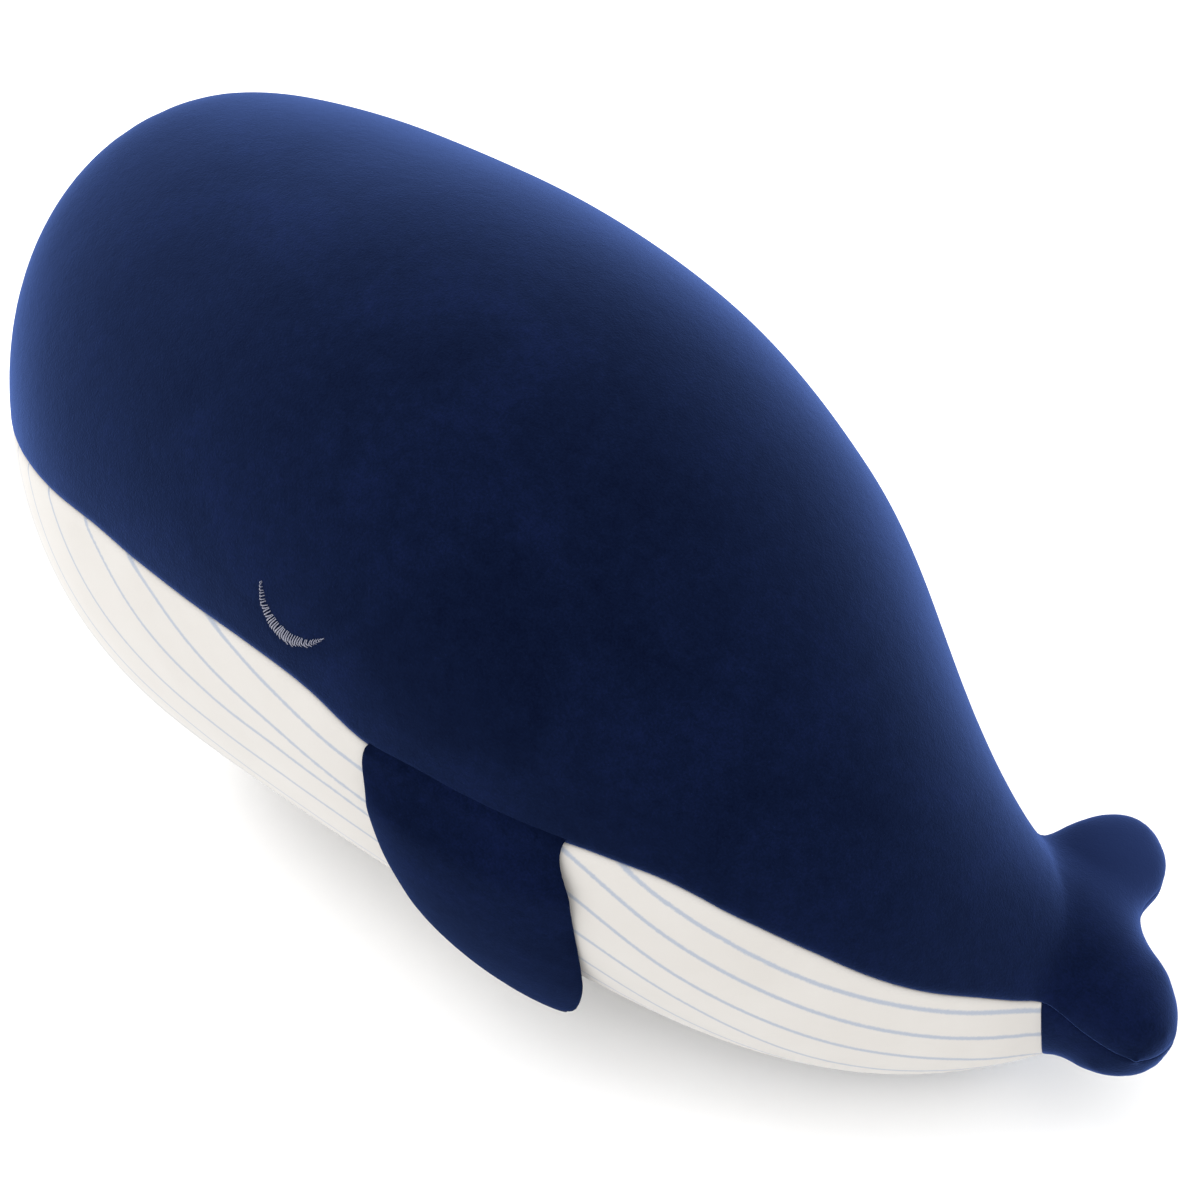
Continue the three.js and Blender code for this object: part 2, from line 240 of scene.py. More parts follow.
def newPiece(name, bm, material=None):
    mesh = bpy.data.meshes.new(name)
    bm.to_mesh(mesh)
    bm.free()
    mesh.shade_smooth()
    piece = bpy.data.objects.new(name, mesh)
    bpy.context.scene.collection.objects.link(piece)
    if material:
        mesh.materials.append(material)
    return piece


def applyModifiers(piece):
    graph = bpy.context.evaluated_depsgraph_get()
    shaped = bpy.data.meshes.new_from_object(piece.evaluated_get(graph))
    piece.modifiers.clear()
    piece.data = shaped


def pointsOf(mesh):
    points = np.zeros(len(mesh.vertices) * 3)
    mesh.vertices.foreach_get("co", points)
    return points.reshape(-1, 3)


def setPoints(mesh, points):
    mesh.vertices.foreach_set("co", np.ascontiguousarray(points, float).ravel())
    mesh.update()


def evened(mesh, values, weights, rounds):  # draws each point's values to its neighbours' mean
    edges = np.zeros(len(mesh.edges) * 2, int)
    mesh.edges.foreach_get("vertices", edges)
    ends = np.concatenate([edges.reshape(-1, 2), edges.reshape(-1, 2)[:, ::-1]])
    values = values.copy()
    count = np.maximum(np.bincount(ends[:, 0], minlength=len(values)), 1)
    for _ in range(rounds):
        sums = np.stack([np.bincount(ends[:, 0], column[ends[:, 1]], len(values))
                         for column in values.T], axis=1)
        values += (sums / count[:, None] - values) * weights[:, None]
    return values


def relax(mesh, weights, rounds):  # evens out the surface where the weights are above 0
    setPoints(mesh, evened(mesh, pointsOf(mesh), weights, rounds))


def nearness(points, form, reach):  # 1 on the form's surface, 0 beyond the reach
    tree = BVHTree.FromBMesh(form)
    gaps = np.array([tree.find_nearest(Vector(p))[3] for p in points])
    return 1 - easeBetween(0, reach, gaps)


# The stuffed form of the body and both flukes, one skin all round

print("Shaping the body")
stuffing = {
    "bodyColumns": 96,
    "bodyRows": 150,
    "snoutShare": 0.3,    # of the rows
    "flukeColumns": 48,
    "flukeRows": 60,
    "voxel": 4,
    "evening": 0.4,
    "evenRounds": 3,
    "softJunction": 10,
    "softening": 0.5,
    "junctionRounds": 18,
    "edgeRounds": 8,
    "edgeStart": (4, 14),
    "edgeWidth": (3, 9),
    "pressure": 500,      # a round form this size hardly swells at the usual 4
    "pointMass": 0.002,   # kg, so that 20 frames are enough for it to settle
    "swelling": 2.5,      # mm that the cloth may move out as the wool fills it
    "sewnWidth": 3,
    "resting": 2,         # mm from the floor that doesn't swell either
    "sizeRounds": 120,
    "lastRounds": 2,
    "frames": 20,
}


def bodyPoint(round_, along):
    share = stuffing["snoutShare"]
    front = body["snoutLength"] * (1 - np.cos(np.clip(along / share, 0, 1) * math.pi / 2))
    rest = body["length"] + body["stockLength"] - body["snoutLength"]
    place = front + rest * np.clip((along - share) / (1 - share), 0, 1)
    half, tall, middle = bodySection(place)
    angle = round_ * 2 * math.pi
    shift = flukes["middle"] * easeBetween(*flukes["shiftRange"], place - body["length"])
    across = shift + half * np.cos(angle)
    return np.stack([place, across, middle + tall * np.sin(angle)], axis=1)


def flukePoint(round_, along):
    side = np.sin((along * 2 - 1) * math.pi / 2)
    share = np.abs(side) * flukes["spans"][-1]
    lean = np.where(side > 0, flukes["rightLean"] * share, 0)
    beside = easeBetween(*flukes["shorterRise"], share)
    beside = beside * (1 - easeBetween(*flukes["shorterFall"], share))
    shorter = np.where(side > 0, flukes["rightShorter"] * beside, 0)
    front = body["length"] + smoothAt(flukes["spans"], flukes["fronts"], share)
    rear = body["length"] + smoothAt(flukes["spans"], flukes["rears"], share) - shorter
    rear = np.maximum(rear, front)
    thick = smoothAt(flukes["spans"], flukes["thicknesses"], share)
    angle = round_ * 2 * math.pi
    thick = thick * np.where(np.sin(angle) > 0, flukes["thickAbove"], flukes["thickBelow"])
    place = front + (rear - front) * (0.5 + 0.5 * np.cos(angle)) - lean
    under = np.minimum(np.sin(angle), 0) ** 2 * thick / flukes["thickBelow"]
    place = place - flukes["underForward"] * under
    across = flukes["middle"] + np.sign(side) * share * flukes["halfSpan"]
    height = flukes["height"] + flukeRise(across) + thick * np.sin(angle)
    return np.stack([place, across, height], axis=1)


def stuffedForm():
    bodyForm = wrappedForm(stuffing["bodyColumns"], stuffing["bodyRows"], bodyPoint)
    flukeForm = wrappedForm(stuffing["flukeColumns"], stuffing["flukeRows"], flukePoint)
    both = bodyForm.copy()
    flukeMesh = bpy.data.meshes.new("flukeForm")
    flukeForm.to_mesh(flukeMesh)
    both.from_mesh(flukeMesh)
    form = newPiece("stuffedForm", both)
    remesh = form.modifiers.new("remesh", "REMESH")
    remesh.mode = "VOXEL"
    remesh.voxel_size = stuffing["voxel"] * mm
    applyModifiers(form)
    points = pointsOf(form.data)
    relax(form.data, np.full(len(points), stuffing["evening"]), stuffing["evenRounds"])
    points = pointsOf(form.data)
    reach = stuffing["softJunction"] * mm
    junction = nearness(points, bodyForm, reach) * nearness(points, flukeForm, reach)
    relax(form.data, junction * stuffing["softening"], stuffing["junctionRounds"])
    points = pointsOf(form.data) / mm
    fromSeam = np.abs(points[:, 2] - seamHeight(points[:, 0], points[:, 1]))
    flukeEdge = easeBetween(*stuffing["edgeStart"], points[:, 0] - body["length"])
    flukeEdge = flukeEdge * (1 - easeBetween(*stuffing["edgeWidth"], fromSeam))
    relax(form.data, flukeEdge * stuffing["softening"], stuffing["edgeRounds"])
    stuffWithWool(form)
    finer = form.modifiers.new("finer", "SUBSURF")
    finer.levels = finer.render_levels = 1
    applyModifiers(form)
    bodyForm.free()
    flukeForm.free()
    return form


def stuffWithWool(form):  # the wool presses the cloth outwards between its seams, simulated
    points = pointsOf(form.data)
    normals = np.zeros(len(points) * 3)
    form.data.vertices.foreach_get("normal", normals)
    normals = normals.reshape(-1, 3)
    start = points - normals * stuffing["swelling"] / 2 * mm
    setPoints(form.data, start)
    place, fromSeam = start[:, 0] / mm, start[:, 2] / mm
    fromSeam = fromSeam - seamHeight(place, start[:, 1] / mm)
    sewn = np.abs(fromSeam) < stuffing["sewnWidth"]
    sewn |= (np.abs(fromRearSeam(place, fromSeam)) < stuffing["sewnWidth"]) & (fromSeam < 0)
    sewn |= start[:, 2] < stuffing["resting"] * mm
    group = form.vertex_groups.new(name="sewn")
    group.add([int(i) for i in np.flatnonzero(sewn)], 1, "REPLACE")
    cloth = form.modifiers.new("wool", "CLOTH")
    cloth.settings.use_pressure = True
    cloth.settings.uniform_pressure_force = stuffing["pressure"]
    cloth.settings.mass = stuffing["pointMass"]
    cloth.settings.effector_weights.gravity = 0
    cloth.settings.vertex_group_mass = "sewn"
    cloth.collision_settings.use_collision = False
    for step in range(1, stuffing["frames"] + 1):
        bpy.context.scene.frame_set(step)
    applyModifiers(form)
    bpy.context.scene.frame_set(1)
    moved = pointsOf(form.data) - start
    far = np.linalg.norm(moved, axis=1)
    cap = stuffing["swelling"] * mm
    moved *= (np.minimum(far, cap) / np.maximum(far, 1e-9))[:, None]
    swell = ((start + moved - points) * normals).sum(axis=1)[:, None]
    # Each region keeps the size it was measured at, so what stays is how the seams sink in
    everywhere = np.ones(len(start))
    left = swell - evened(form.data, swell, everywhere * stuffing["softening"],
                          stuffing["sizeRounds"])
    print("  wool moves the cloth by up to", round(far.max() / mm, 1), "mm, the middle point by",
          round(np.median(far) / mm, 2), "mm; kept, from the measured form:",
          [round(float(np.percentile(left, q)) / mm, 2) for q in (0, 5, 50, 95, 100)], "mm")
    setPoints(form.data, points + normals * left)
    relax(form.data, everywhere * stuffing["evening"], stuffing["lastRounds"])


form = stuffedForm()

# The floor presses the belly flat
rest = {"sink": 1.4, "reach": 12, "round": 1.2, "lower": 0.25}
points = pointsOf(form.data)
low = points[:, 2] / mm
low = low - rest["sink"] * np.exp(-np.maximum(low, 0) / rest["reach"])
low = (low + np.sqrt(low**2 + rest["round"])) / 2 - rest["lower"]
points[:, 2] = np.maximum(low, 0) * mm
setPoints(form.data, points)
print("  faces in the form:", len(form.data.polygons))


# Panels cut from the form along the seams, with their edges rolled in and turned under


def sliceAt(bm, offset, normal, **clear):
    everything = bm.verts[:] + bm.edges[:] + bm.faces[:]
    point = Vector(normal) * offset * mm
    bmesh.ops.bisect_plane(bm, geom=everything, dist=1e-7, plane_co=point, plane_no=normal, **clear)


def shearToSeam(bm, way):
    points = np.array([v.co[:] for v in bm.verts])
    heights = seamHeight(points[:, 0] / mm, points[:, 1] / mm) * mm
    for vert, height in zip(bm.verts, heights):
        vert.co.z += way * height


def cutPanel(name, above, sideOfRear, material):
    bm = bmesh.new()
    bm.from_mesh(form.data)
    lean = math.hypot(1, seam["rearSlope"])
    upDown, along = (0, 0, 1), (1 / lean, 0, seam["rearSlope"] / lean)
    rear = seam["rearPlace"] / lean
    shearToSeam(bm, -1)
    for roll in seam["rolls"]:
        sliceAt(bm, roll if above else -roll, upDown)
    sliceAt(bm, 0, upDown, clear_inner=above, clear_outer=not above)
    if sideOfRear:
        for roll in seam["rolls"]:
            sliceAt(bm, rear + sideOfRear * roll, along)
        sliceAt(bm, rear, along, clear_inner=sideOfRear > 0, clear_outer=sideOfRear < 0)
    shearToSeam(bm, 1)
    bm.normal_update()
    outwards = bm.verts.layers.float_vector.new("outwards")
    points = np.array([v.co[:] for v in bm.verts])
    fromSeam = points[:, 2] / mm - seamHeight(points[:, 0] / mm, points[:, 1] / mm)
    distance = np.abs(fromSeam)
    if sideOfRear:
        distance = np.minimum(distance, np.abs(fromRearSeam(points[:, 0] / mm, fromSeam)))
    t = 1 - np.clip(distance / seam["rollWidth"], 0, 1)
    depth = seam["rollDepth"] * (1 - np.sqrt(1 - t**2))
    behind = easeBetween(*seam["flukeFadeRange"], points[:, 0] / mm - seam["rearPlace"])
    depth = depth * (1 - seam["flukeFade"] * behind)
    for vert, d in zip(bm.verts, depth):
        vert[outwards] = vert.normal
        vert.co -= vert.normal * d * mm
    bmesh.ops.recalc_face_normals(bm, faces=bm.faces)
    edge = [e for e in bm.edges if e.is_boundary]
    hem = bmesh.ops.extrude_edge_only(bm, edges=edge)["geom"]
    lift = seam["hemLift"] * mm * (1 if above else -1)
    for vert in (g for g in hem if isinstance(g, bmesh.types.BMVert)):
        vert.co += vert[outwards] * -seam["hem"] * mm + Vector((0, 0, lift))
    return newPiece(name, bm, material)


# Materials


def linear(hexColour):
    channels = [int(hexColour[i : i + 2], 16) / 255 for i in (1, 3, 5)]
    straight = [c / 12.92 if c <= 0.04045 else ((c + 0.055) / 1.055) ** 2.4 for c in channels]
    return (*straight, 1)


def addNode(tree, kind, values=None, links=None, **settings):
    node = tree.nodes.new(kind)
    for key, value in settings.items():
        setattr(node, key, value)
    for socket, value in (values or {}).items():
        node.inputs[socket].default_value = value
    for socket, source in (links or {}).items():
        tree.links.new(source, node.inputs[socket])
    return node


def perMetre(size):  # a noise scale whose features are that many mm wide
    return 1 / (size * mm)


def newMaterial(name):
    material = bpy.data.materials.new(name)
    material.use_nodes = True
    tree = material.node_tree
    tree.nodes.clear()
    return material, tree


velvet = {
    "deep": "#04081a",
    "mid": "#070e23",
    "light": "#0c1431",
    "sheen": "#5a75ba",
    "paintedSheen": "#192445",  # painted sheen: the right fluke's top is lightened in the base colour, as if light glanced off it
    "paintedSheenAt": (0.205, 0.092, 0.06),
    "paintedSheenReach": (75, 20),
    "strokeShare": 0.4,
    "napShare": 0.33,
    "stops": (0.36, 0.5, 0.66),
    "bump": 0.6,
    "sheenRoughness": 0.42,
    "patch": 48,      # mm across a brushed patch of pile
    "stroke": 4.5,
    "nap": 0.75,      # drawn coarser than the real pile, so that it shows
    "napHeight": 0.22,
    "layHeight": 0.6,  # the pile leans this way and that from stroke to stroke
}


def navyVelvet(name, glow):  # polyester velvet, short pile: dark face on, glowing at its edges
    material, tree = newMaterial(name)
    place = addNode(tree, "ShaderNodeTexCoord").outputs["Object"]
    patch = addNode(tree, "ShaderNodeTexNoise", {"Scale": perMetre(velvet["patch"]), "Detail": 3,
                    "Roughness": 0.55, "Distortion": 0.6}, {"Vector": place})
    stroke = addNode(tree, "ShaderNodeTexNoise", {"Scale": perMetre(velvet["stroke"]), "Detail": 4,
                     "Roughness": 0.65, "Distortion": 0.3}, {"Vector": place})
    nap = addNode(tree, "ShaderNodeTexNoise", {"Scale": perMetre(velvet["nap"]), "Detail": 2,
                  "Roughness": 0.7}, {"Vector": place})
    brushed = addNode(tree, "ShaderNodeMix", {"Factor": velvet["strokeShare"]}, {
        "A": patch.outputs["Fac"], "B": stroke.outputs["Fac"]}, data_type="FLOAT")
    grain = addNode(tree, "ShaderNodeMix", {"Factor": velvet["napShare"]}, {
        "A": brushed.outputs["Result"], "B": nap.outputs["Fac"]}, data_type="FLOAT")
    ramp = addNode(tree, "ShaderNodeValToRGB", None, {"Fac": grain.outputs["Result"]})
    stops = ramp.color_ramp.elements
    stops[0].position, stops[0].color = velvet["stops"][0], linear(velvet["deep"])
    stops[1].position, stops[1].color = velvet["stops"][2], linear(velvet["light"])
    stops.new(velvet["stops"][1]).color = linear(velvet["mid"])
    # Painted sheen: the base colour is lightened near a point on the right fluke's top
    away = addNode(tree, "ShaderNodeVectorMath", {1: velvet["paintedSheenAt"]}, {0: place},
                   operation="DISTANCE")
    paintedSheen = addNode(tree, "ShaderNodeMapRange", {"From Min": velvet["paintedSheenReach"][0] * mm,
                     "From Max": velvet["paintedSheenReach"][1] * mm}, {"Value": away.outputs["Value"]},
                     interpolation_type="SMOOTHSTEP")
    face = addNode(tree, "ShaderNodeMix", None, {"Factor": paintedSheen.outputs["Result"]},
                   data_type="RGBA")
    face.inputs["B"].default_value = linear(velvet["paintedSheen"])
    tree.links.new(ramp.outputs["Color"], face.inputs["A"])
    lay = addNode(tree, "ShaderNodeBump", {"Strength": velvet["bump"],
                  "Distance": velvet["layHeight"] * mm}, {"Height": brushed.outputs["Result"]})
    bump = addNode(tree, "ShaderNodeBump", {"Strength": velvet["bump"],
                   "Distance": velvet["napHeight"] * mm},
                   {"Height": nap.outputs["Fac"], "Normal": lay.outputs["Normal"]})
    cloth = addNode(tree, "ShaderNodeBsdfPrincipled", {
        "Roughness": 1, "Specular IOR Level": 0, "Sheen Weight": glow,
        "Sheen Roughness": velvet["sheenRoughness"], "Sheen Tint": linear(velvet["sheen"])},
        {"Base Color": face.outputs["Result"], "Normal": bump.outputs["Normal"]})
    addNode(tree, "ShaderNodeOutputMaterial", None, {"Surface": cloth.outputs["BSDF"]})
    return material


printed = {
    "cream": "#bfbcb8",
    "creamShade": "#b8b4af",
    "line": "#999faa",
    "lineWidth": 1.6,
    "lineBlur": (0.85, 0.15),
    "wander": 0.9,        # mm that the pile frays the lines' edges
    "patch": 22,
    "nap": 0.8,
    "napHeight": 0.15,
    "bump": 0.4,
}


def whiteVelvet():  # off-white polyester velvet printed with thin pale blue lines
    material, tree = newMaterial("printedPolyesterVelvet")
    place = addNode(tree, "ShaderNodeTexCoord").outputs["Object"]
    patch = addNode(tree, "ShaderNodeTexNoise", {"Scale": perMetre(printed["patch"]), "Detail": 3},
                    {"Vector": place})
    nap = addNode(tree, "ShaderNodeTexNoise", {"Scale": perMetre(printed["nap"]), "Detail": 2,
                  "Roughness": 0.7}, {"Vector": place})
    shade = addNode(tree, "ShaderNodeMix", None, {"Factor": patch.outputs["Fac"]}, data_type="RGBA")
    shade.inputs["A"].default_value = linear(printed["cream"])
    shade.inputs["B"].default_value = linear(printed["creamShade"])
    number = addNode(tree, "ShaderNodeAttribute", attribute_name="lineNumber").outputs["Fac"]
    pitch = addNode(tree, "ShaderNodeAttribute", attribute_name="linePitch").outputs["Fac"]
    nearest = addNode(tree, "ShaderNodeMath", None, {0: number}, operation="ROUND")
    away = addNode(tree, "ShaderNodeMath", None, {0: number, 1: nearest.outputs[0]},
                   operation="SUBTRACT")
    away = addNode(tree, "ShaderNodeMath", None, {0: away.outputs[0]}, operation="ABSOLUTE")
    distance = addNode(tree, "ShaderNodeMath", None, {0: away.outputs[0], 1: pitch},
                       operation="MULTIPLY")
    wander = addNode(tree, "ShaderNodeMath", {1: printed["wander"]}, {0: nap.outputs["Fac"]},
                     operation="MULTIPLY")
    edge = addNode(tree, "ShaderNodeMath", None, {0: distance.outputs[0], 1: wander.outputs[0]},
                   operation="ADD")
    outer, inner = (printed["lineWidth"] / 2 + blur for blur in printed["lineBlur"])
    ink = addNode(tree, "ShaderNodeMapRange", {"From Min": outer, "From Max": inner},
                  {"Value": edge.outputs[0]})
    cloth = addNode(tree, "ShaderNodeMix", None, {"Factor": ink.outputs["Result"],
                    "A": shade.outputs["Result"]}, data_type="RGBA")
    cloth.inputs["B"].default_value = linear(printed["line"])
    bump = addNode(tree, "ShaderNodeBump", {"Strength": printed["bump"],
                   "Distance": printed["napHeight"] * mm}, {"Height": nap.outputs["Fac"]})
    pile = addNode(tree, "ShaderNodeBsdfPrincipled", {
        "Roughness": 0.95, "Specular IOR Level": 0.1, "Sheen Weight": 0.25, "Sheen Roughness": 0.5},
        {"Base Color": cloth.outputs["Result"], "Normal": bump.outputs["Normal"]})
    addNode(tree, "ShaderNodeOutputMaterial", None, {"Surface": pile.outputs["BSDF"]})
    return material


thread = {"colour": "#898a97", "dark": "#636577", "twist": 0.6}


def silverThread():  # rayon embroidery thread, smooth and bright across its length
    material, tree = newMaterial("silverRayonThread")
    place = addNode(tree, "ShaderNodeTexCoord").outputs["Object"]
    twist = addNode(tree, "ShaderNodeTexNoise", {"Scale": perMetre(thread["twist"]), "Detail": 2},
                    {"Vector": place})
    colour = addNode(tree, "ShaderNodeMix", None, {"Factor": twist.outputs["Fac"]},
                     data_type="RGBA")
    colour.inputs["A"].default_value = linear(thread["colour"])
    colour.inputs["B"].default_value = linear(thread["dark"])
    yarn = addNode(tree, "ShaderNodeBsdfPrincipled", {"Roughness": 0.38, "Sheen Weight": 0.2},
                   {"Base Color": colour.outputs["Result"]})
    addNode(tree, "ShaderNodeOutputMaterial", None, {"Surface": yarn.outputs["BSDF"]})
    return material


navyCloth = navyVelvet("navyPolyesterVelvet", 1)
finCloth = navyVelvet("navyPolyesterVelvetBrushedFlat", 0.25)  # the fins' pile lies flat
whiteCloth, eyeThread = whiteVelvet(), silverThread()

# The belly's printed lines: each runs from the side seam to the rear, given by its angle
# up from the bottom in degrees at places along the body, as a share of the body's length
lines = {
    "knots": [0, 0.05, 0.1, 0.15, 0.2, 0.25, 0.3, 0.36, 0.43, 0.5, 0.58, 0.66, 0.74, 0.8, 0.86,
              0.93, 1],
    "angles": [
        [200, 165, 132, 112, 96.5, 84.5, 77, 71.5, 67.5, 65.5, 63, 59, 55, 44, 34, 26, 20],
        [205, 172, 138, 124, 109, 97.5, 88, 81, 77.5, 76, 74, 70, 64, 53, 43, 35, 30],
        [210, 176, 143, 130, 119, 109, 101, 91.5, 85.8, 83.8, 81.5, 77.5, 73, 63.5, 54, 46, 40],
        [215, 180, 150, 132, 120, 113, 107, 100.5, 92.7, 88.5, 84.7, 84, 82.9, 75.5, 66.5, 61, 52],
        [220, 190, 160, 135, 126, 118, 111.5, 106, 101.4, 96, 91.8, 92.6, 92.4, 84.6, 79.3, 75.7,
         67.4],
        [230, 200, 170, 145, 135, 128, 122, 117, 112, 107, 104, 103, 101, 94.2, 90.4, 89.8, 92],
        [240, 212, 182, 157, 148, 141, 135, 130, 125, 121, 117, 112, 107.5, 102.1, 99.6, 102.2,
         110],
    ],
    "inner": 9,           # lines from the lowest of these down to the middle of the belly
    "pitchAbove": 12,     # degrees between lines above the highest of these
}


def lineNumber(place, angle):
    share = place / body["length"]
    rows = [smoothAt(lines["knots"], row, share) for row in lines["angles"]]
    number = lines["inner"] * angle / rows[0]
    for k in range(len(rows) - 1):
        between = (angle - rows[k]) / np.maximum(rows[k + 1] - rows[k], 0.1)
        number = np.where(angle > rows[k], lines["inner"] + k + between, number)
    over = lines["inner"] + len(rows) - 1 + (angle - rows[-1]) / lines["pitchAbove"]
    return np.where(angle > rows[-1], over, number)


def printLines(mesh):  # which line a point is nearest, and the mm between lines there
    points = pointsOf(mesh)
    place, across = points[:, 0] / mm, points[:, 1] / mm
    half, tall, middle = bodySection(place)
    angle = np.degrees(np.arctan2(np.abs(across), middle - points[:, 2] / mm))
    step = lineNumber(place, angle + 0.5) - lineNumber(place, angle - 0.5)
    pitch = half * math.radians(1) / np.maximum(np.abs(step), 1e-3)
    for name, values in (("lineNumber", lineNumber(place, angle)), ("linePitch", pitch)):
        mesh.attributes.new(name, "FLOAT", "POINT").data.foreach_set("value", values)


print("Cutting the panels")
backPanel = cutPanel("backAndTailTop", True, 0, navyCloth)
bellyPanel = cutPanel("stripedBelly", False, -1, whiteCloth)
underPanel = cutPanel("tailUnderside", False, 1, navyCloth)
printLines(bellyPanel.data)
for panel in (backPanel, bellyPanel, underPanel):
    setPoints(panel.data, bent(pointsOf(panel.data)))
bpy.data.objects.remove(form)

# Fins, each sewn into the side seam along its root. The outline is given along the root and
# out from it, in mm, from the measured root line

fins = {
    "rootPlaces": (263.5, 330.5),
    "outs": [-6, 2, 9, 20.8, 34.3, 47, 58.6, 68, 76.8, 83, 87.4, 91.5, 94.5, 95.8],
    "fronts": [3.4, 3.5, 3.6, 3.8, 6.5, 10.2, 15.2, 20, 27, 34, 40.3, 47.8, 56, 66.5],
    "rears": [74.5, 75.8, 77, 78.8, 81.4, 83.9, 85.9, 87, 86.8, 86, 85, 82.6, 77.5, 66.5],
    "thicks": [1.2, 1.6, 3, 5.2, 6.6, 7.1, 6.9, 6.4, 5.4, 4.4, 3.5, 2.3, 1.1, 0],
    "edgeSharpness": 1.25,
    "columns": 64,
    "rows": 90,
    "lift": 2.6,          # mm that it stands off, so that its edge lies on the round belly
    "curl": 5.6,
    "rootDepth": 2.5,
    "rootClearance": 1.1,
    "rootSink": (-4, 0),
    "sewnReach": (2, 20),  # mm out where the root's form gives way to the free fin
    "rootFullness": 0.6,
    "liftReach": (0, 24),
    "bendFrom": 3,        # mm either side of the root line where the fin bends
    "bendTo": 6,
    "left": {"side": -1, "origin": (21.59, -120.81, 133.08), "length": 74.75,
             "chord": (0.94435, 0.27882, -0.17451), "reach": (-0.20063, 0.06784, -0.97732)},
    "right": {"side": 1, "origin": (21.85, 121.32, 133.08), "length": 69.77,
              "chord": (0.93747, -0.29359, -0.18697), "reach": (-0.21352, -0.06084, -0.97504)},
}


def besideBelly(place, out, side):  # points that follow the body below the side seam
    half, tall, middle = bodySection(place)
    height = seamHeight(place, place * 0) - out
    rise = easeBetween(*fins["rootSink"], out)
    depth = fins["rootDepth"] - (fins["rootDepth"] + fins["rootClearance"]) * rise
    across = side * (half * np.sqrt(1 - ((height - middle) / tall) ** 2) - depth)
    return bent(np.stack([place, across, height], axis=1) * mm) / mm


def finPoint(which):
    side, origin = which["side"], np.array(which["origin"])
    chord, reach = np.array(which["chord"]), np.array(which["reach"])
    outwards = side * np.cross(chord, reach)

    def pointAt(round_, along):
        lowest, highest = fins["outs"][0], fins["outs"][-1]
        out = lowest + (highest - lowest) * np.sin(along * math.pi / 2)
        stretch = which["length"] / fins["left"]["length"]
        front = smoothAt(fins["outs"], fins["fronts"], out) * stretch
        rear = smoothAt(fins["outs"], fins["rears"], out) * stretch
        thick = smoothAt(fins["outs"], fins["thicks"], out)
        turn = round_ * 2 * math.pi
        share = 0.5 + 0.5 * np.cos(turn)
        bulge = thick * np.sign(np.sin(turn)) * np.abs(np.sin(turn)) ** fins["edgeSharpness"]
        curl = fins["lift"] * easeBetween(*fins["liftReach"], out)
        curl = curl - fins["curl"] * (np.maximum(out, 0) / highest) ** 2
        flat = origin + (front + (rear - front) * share)[:, None] * chord + out[:, None] * reach
        free = flat + (bulge + curl)[:, None] * outwards
        first, last = fins["rootPlaces"]
        rootShare = (front + (rear - front) * share) / which["length"]
        place = first + (last - first) * rootShare
        sewn = besideBelly(place + out * reach[0], out, side)
        sewn = sewn + (bulge * fins["rootFullness"])[:, None] * outwards
        hold = 1 - easeBetween(*fins["sewnReach"], out)
        return free + (sewn - free) * hold[:, None]

    return pointAt


def makeFin(name):
    which = fins[name]
    bm = wrappedForm(fins["columns"], fins["rows"], finPoint(which))
    piece = newPiece(name + "Fin", bm, finCloth)
    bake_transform(piece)
    nodes = [name + "_fin" + part for part in ("_outer_panel", "_inner_panel", "_filling")]
    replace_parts(piece, *nodes)
    return piece


print("Making the fins")
for name in ("left", "right"):
    makeFin(name)

# Closed eyes, satin-stitched: a crescent of short threads side by side

eyes = {
    "place": 234.4,
    "height": 172.3,
    "radius": 15.2,
    "width": 4,
    "start": math.radians(176),
    "end": math.radians(326),
    "stitches": 38,
    "taper": 0.85,
    "threadRadius": 0.27,
    "rise": 0.7,
    "depth": -0.25,       # where a stitch enters the cloth
    "lean": 0.035,
    "raggedOutside": 0.45,
    "raggedInside": 0.15,
    "entry": 0.6,         # a thread's share of its thickness where it enters
    "seed": 7,
}


def onSide(place, height, side, lift):  # a point on the body's side, lifted off it
    half, tall, middle = bodySection(place)
    across = half * math.sqrt(1 - ((height - middle) / tall) ** 2) + lift
    return Vector((place + body["snoutX"], side * across, height)) * mm


def makeEye(name, side):
    chance = random.Random(eyes["seed"])
    curve = bpy.data.curves.new(name, "CURVE")
    curve.dimensions = "3D"
    curve.bevel_depth = eyes["threadRadius"] * mm
    curve.bevel_resolution = 1
    curve.resolution_u = 4
    curve.use_fill_caps = True
    for i in range(eyes["stitches"]):
        share = (i + 0.5) / eyes["stitches"]
        angle = eyes["start"] + (eyes["end"] - eyes["start"]) * share
        wide = eyes["width"] * math.sin(share * math.pi) ** eyes["taper"]
        lean = chance.uniform(-eyes["lean"], eyes["lean"])
        ragged = chance.uniform(-eyes["raggedOutside"], eyes["raggedOutside"])
        outer = eyes["radius"] + ragged * wide / eyes["width"]
        inner = chance.uniform(-eyes["raggedInside"], eyes["raggedInside"])
        inner = eyes["radius"] - wide + inner
        spline = curve.splines.new("BEZIER")
        spline.bezier_points.add(2)
        for k, point in enumerate(spline.bezier_points):
            reach = inner + (outer - inner) * k / 2
            turn = angle + lean * (k - 1)
            lift = eyes["rise"] if k == 1 else eyes["depth"]
            place = eyes["place"] + reach * math.cos(turn)
            point.co = onSide(place, eyes["height"] + reach * math.sin(turn), side, lift)
            point.handle_left_type = point.handle_right_type = "AUTO"
            thin = eyes["entry"] + (1 - eyes["entry"]) * math.sin(share * math.pi)
            point.radius = (1 if k == 1 else eyes["entry"]) * thin
    drawn = bpy.data.objects.new(name + "Curve", curve)
    bpy.context.scene.collection.objects.link(drawn)
    graph = bpy.context.evaluated_depsgraph_get()
    mesh = bpy.data.meshes.new_from_object(drawn.evaluated_get(graph))
    bpy.data.objects.remove(drawn)
    mesh.materials.clear()
    mesh.materials.append(eyeThread)
    mesh.shade_smooth()
    piece = bpy.data.objects.new(name, mesh)
    bpy.context.scene.collection.objects.link(piece)
    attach(piece, "trunk")
    return piece


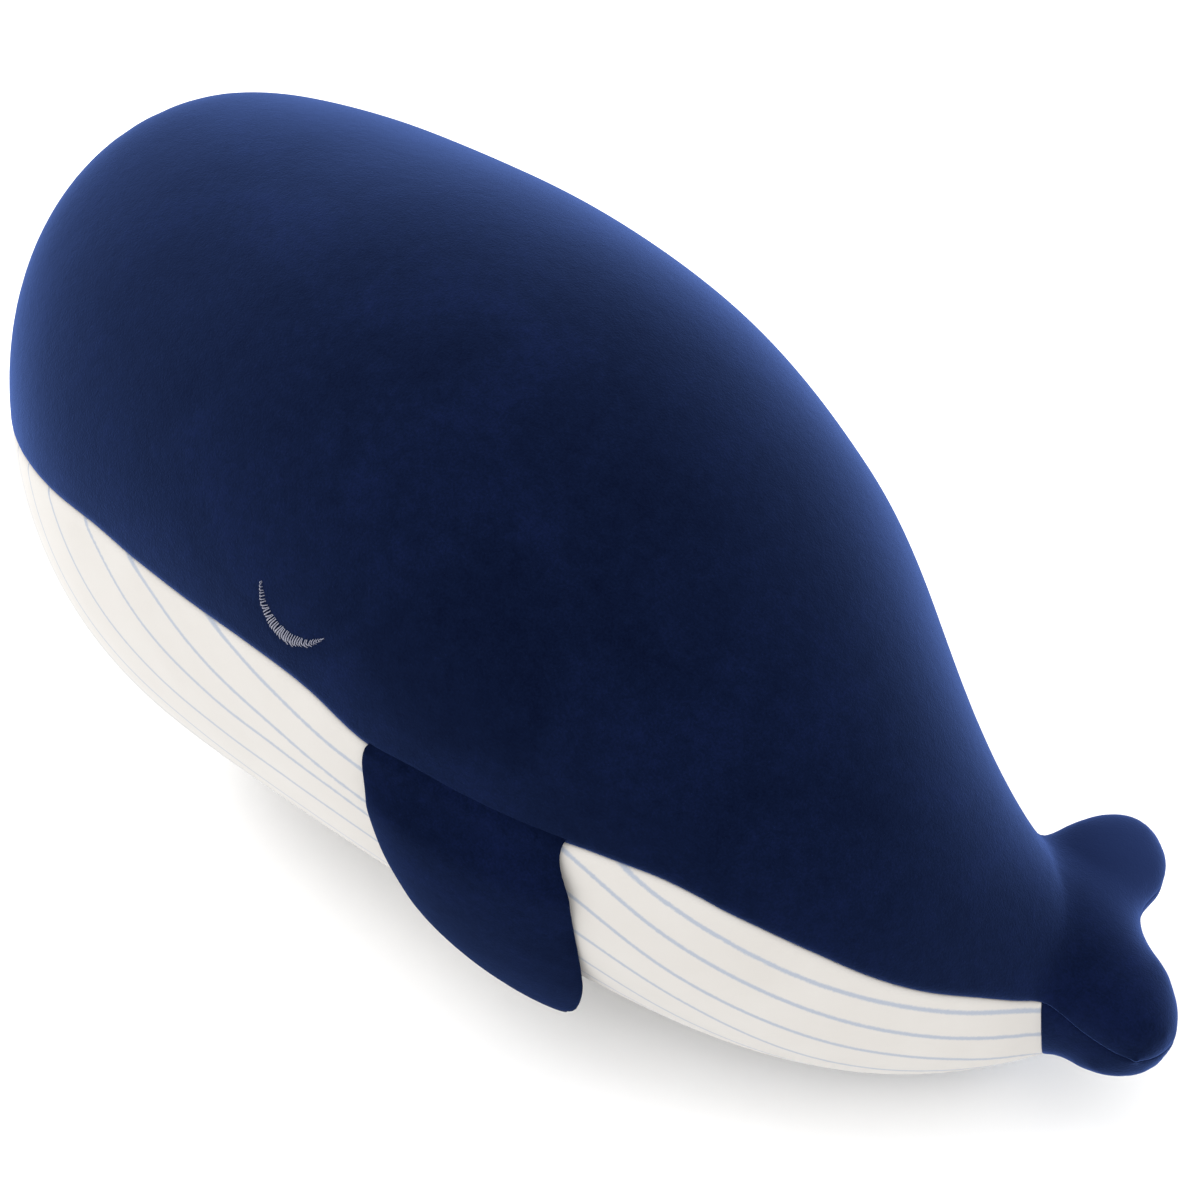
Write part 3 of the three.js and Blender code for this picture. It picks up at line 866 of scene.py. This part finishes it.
print("Stitching the eyes")
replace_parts(makeEye("leftEye", -1), "left_eye_stitching")
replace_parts(makeEye("rightEye", 1), "right_eye_stitching")

# Baking the panels in place and hiding the model's parts they stand for

for panel in (backPanel, bellyPanel, underPanel):
    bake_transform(panel)
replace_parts(backPanel, "back_panel", "tail_top_panel", "body_filling", "tail_filling",
            "left_fluke_filling", "right_fluke_filling")
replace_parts(bellyPanel, "belly_panel")
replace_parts(underPanel, "tail_under_panel")

# Floor, light and camera

print("Setting the stage")
stage = {
    "floorSize": 12,
    "floor": "#fbfbfb",
    "sky": 1.5,
    "cameraPlace": (317.1, -326.8, 448.2),
    "turn": math.radians(43),
    "tilt": math.radians(36),
    "lens": 45,
    "softboxPlace": (-0.9, -0.2, 1.6),
    "softboxSize": 1.4,
    "softboxPower": 15,
    "aim": (0, 0, 0.1),
}


def makeFloor():
    bm = bmesh.new()
    bmesh.ops.create_grid(bm, x_segments=1, y_segments=1, size=stage["floorSize"] / 2)
    material, tree = newMaterial("paperBackdrop")
    paper = addNode(tree, "ShaderNodeBsdfPrincipled", {"Base Color": linear(stage["floor"]),
                    "Roughness": 1, "Specular IOR Level": 0})
    addNode(tree, "ShaderNodeOutputMaterial", None, {"Surface": paper.outputs["BSDF"]})
    floor = newPiece("floor", bm, material)
    floor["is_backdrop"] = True


def addAreaLight(name, place, size, power):
    lamp = bpy.data.lights.new(name, "AREA")
    lamp.size, lamp.energy = size, power
    light = bpy.data.objects.new(name, lamp)
    light.location = place
    towards = Vector(stage["aim"]) - Vector(place)
    light.rotation_euler = towards.to_track_quat("-Z", "Y").to_euler()
    bpy.context.scene.collection.objects.link(light)


makeFloor()
world = bpy.data.worlds.new("studio")
world.use_nodes = True
world.node_tree.nodes["Background"].inputs["Color"].default_value = (1, 1, 1, 1)
world.node_tree.nodes["Background"].inputs["Strength"].default_value = stage["sky"]
bpy.context.scene.world = world
addAreaLight("softbox", stage["softboxPlace"], stage["softboxSize"], stage["softboxPower"])
bpy.context.scene.view_settings.view_transform = "Standard"

lens = bpy.data.cameras.new("camera")
lens.lens, lens.sensor_width = stage["lens"], 36
camera = bpy.data.objects.new("camera", lens)
turn, tilt = stage["turn"], stage["tilt"]
right = Vector((math.cos(turn), math.sin(turn), 0))
back = Vector((math.sin(turn) * math.cos(tilt), -math.cos(turn) * math.cos(tilt), math.sin(tilt)))
camera.matrix_world = Matrix((right, back.cross(right), back)).transposed().to_4x4()
camera.location = Vector(stage["cameraPlace"]) * mm
bpy.context.scene.collection.objects.link(camera)
bpy.context.scene.camera = camera

low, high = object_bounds()
print("Finishing")
